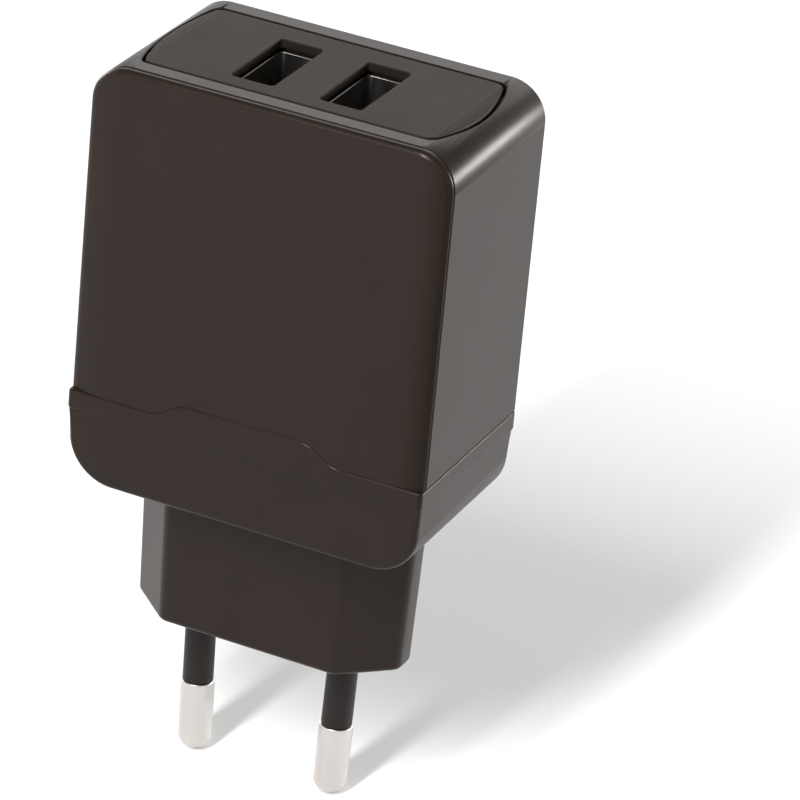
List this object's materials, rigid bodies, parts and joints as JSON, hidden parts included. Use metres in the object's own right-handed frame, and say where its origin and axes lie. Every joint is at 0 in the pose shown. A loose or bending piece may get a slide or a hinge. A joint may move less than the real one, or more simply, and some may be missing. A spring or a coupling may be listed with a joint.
{
  "type": "usb wall charger",
  "caption": "Slim upright USB wall charger: boxy dark casing with a raised collar, a Euro plug below, and ports in the top.",
  "frame": {"origin": "centre of the plug's engagement face, where it meets the socket", "axes": "+Z away from the socket along the casing, +X to the right of the front cover, -Y out of the front cover"},
  "size_m": [0.0444, 0.0252, 0.0883],
  "materials": {
    "housing_plastic": "satin, moulded, warm near-black",
    "cover_plastic": "satin, moulded, warm near-black",
    "plate_plastic": "fine spark-eroded texture",
    "cap_plastic": "satin, moulded, warm near-black",
    "plug_plastic": "satin, moulded, warm near-black",
    "sleeve_plastic": "moulded, matt black",
    "plated_brass": "nickel plated, lightly brushed by use",
    "spring_brass": "stamped strip",
    "circuit_board": "green solder mask over glass laminate",
    "black_plastic": "glass-filled moulding",
    "tinned_metal": "tin plated",
    "solder": "shiny solder",
    "insulating_film": "thin fish paper",
    "resistor_coating": "lacquered, with plain bands",
    "chip_epoxy": "moulded epoxy",
    "white_epoxy": "moulded epoxy",
    "blue_epoxy": "dipped epoxy",
    "ferrite": "ground ferrite",
    "copper_wire": "enamelled copper wire",
    "yellow_tape": "polyester tape",
    "capacitor_sleeve": "shrunk plastic sleeve",
    "can_aluminium": "drawn can",
    "chip_ceramic_black": "ceramic chip with tinned ends",
    "chip_ceramic_tan": "ceramic chip with tinned ends",
    "port_steel": "folded tinned steel",
    "tongue_plastic": "glass-filled moulding",
    "gold_plated_bronze": "gold-flashed spring bronze"
  },
  "bodies": {
    "charger": {"rear_housing": "housing_plastic", "front_cover": "cover_plastic", "port_plate": "plate_plastic", "lower_cap": "cap_plastic", "plug_body": "plug_plastic", "main_board": "circuit_board", "port_board": "circuit_board", "board_header": "black_plastic", "header_pins": "tinned_metal", "solder_joints": "solder", "insulation_sheet": "insulating_film", "fuse_resistor": "resistor_coating", "bridge_rectifier": "chip_epoxy", "input_choke_core": "ferrite", "input_choke_winding": "copper_wire", "transformer_core": "ferrite", "transformer_bobbin": "black_plastic", "transformer_winding": "copper_wire", "transformer_tape": "yellow_tape", "transformer_pins": "tinned_metal", "controller_ic": "chip_epoxy", "optocoupler": "white_epoxy", "safety_capacitor": "blue_epoxy", "aux_capacitor": "capacitor_sleeve", "snubber_diode": "chip_epoxy", "output_rectifier": "chip_epoxy", "charge_control_ics": "chip_epoxy", "smd_resistors": "chip_ceramic_black", "smd_capacitors": "chip_ceramic_tan", "input_capacitor_lower": "capacitor_sleeve", "input_capacitor_upper": "capacitor_sleeve", "left_pin": "plated_brass", "left_pin_sleeve": "sleeve_plastic", "left_mains_contact": "spring_brass", "left_port_shell": "port_steel", "left_port_tongue": "tongue_plastic", "left_port_tails": "tinned_metal", "left_output_capacitor": "can_aluminium", "right_pin": "plated_brass", "right_pin_sleeve": "sleeve_plastic", "right_mains_contact": "spring_brass", "right_port_shell": "port_steel", "right_port_tongue": "tongue_plastic", "right_port_tails": "tinned_metal", "right_output_capacitor": "can_aluminium"},
    "left_port_contacts": {"left_port_contacts": "gold_plated_bronze"},
    "right_port_contacts": {"right_port_contacts": "gold_plated_bronze"}
  },
  "joints": [
    {"name": "left_port_contact_flex", "type": "hinge", "parent": "charger", "child": "left_port_contacts", "pos_m": [-0.00513, 0, 0.05683], "axis": [0, 1, 0], "range_deg": [0, 2.5], "stiffness_Nm_per_rad": 0.6},
    {"name": "right_port_contact_flex", "type": "hinge", "parent": "charger", "child": "right_port_contacts", "pos_m": [0.00568, 0, 0.05683], "axis": [0, 1, 0], "range_deg": [0, 2.5], "stiffness_Nm_per_rad": 0.6}
  ]
}
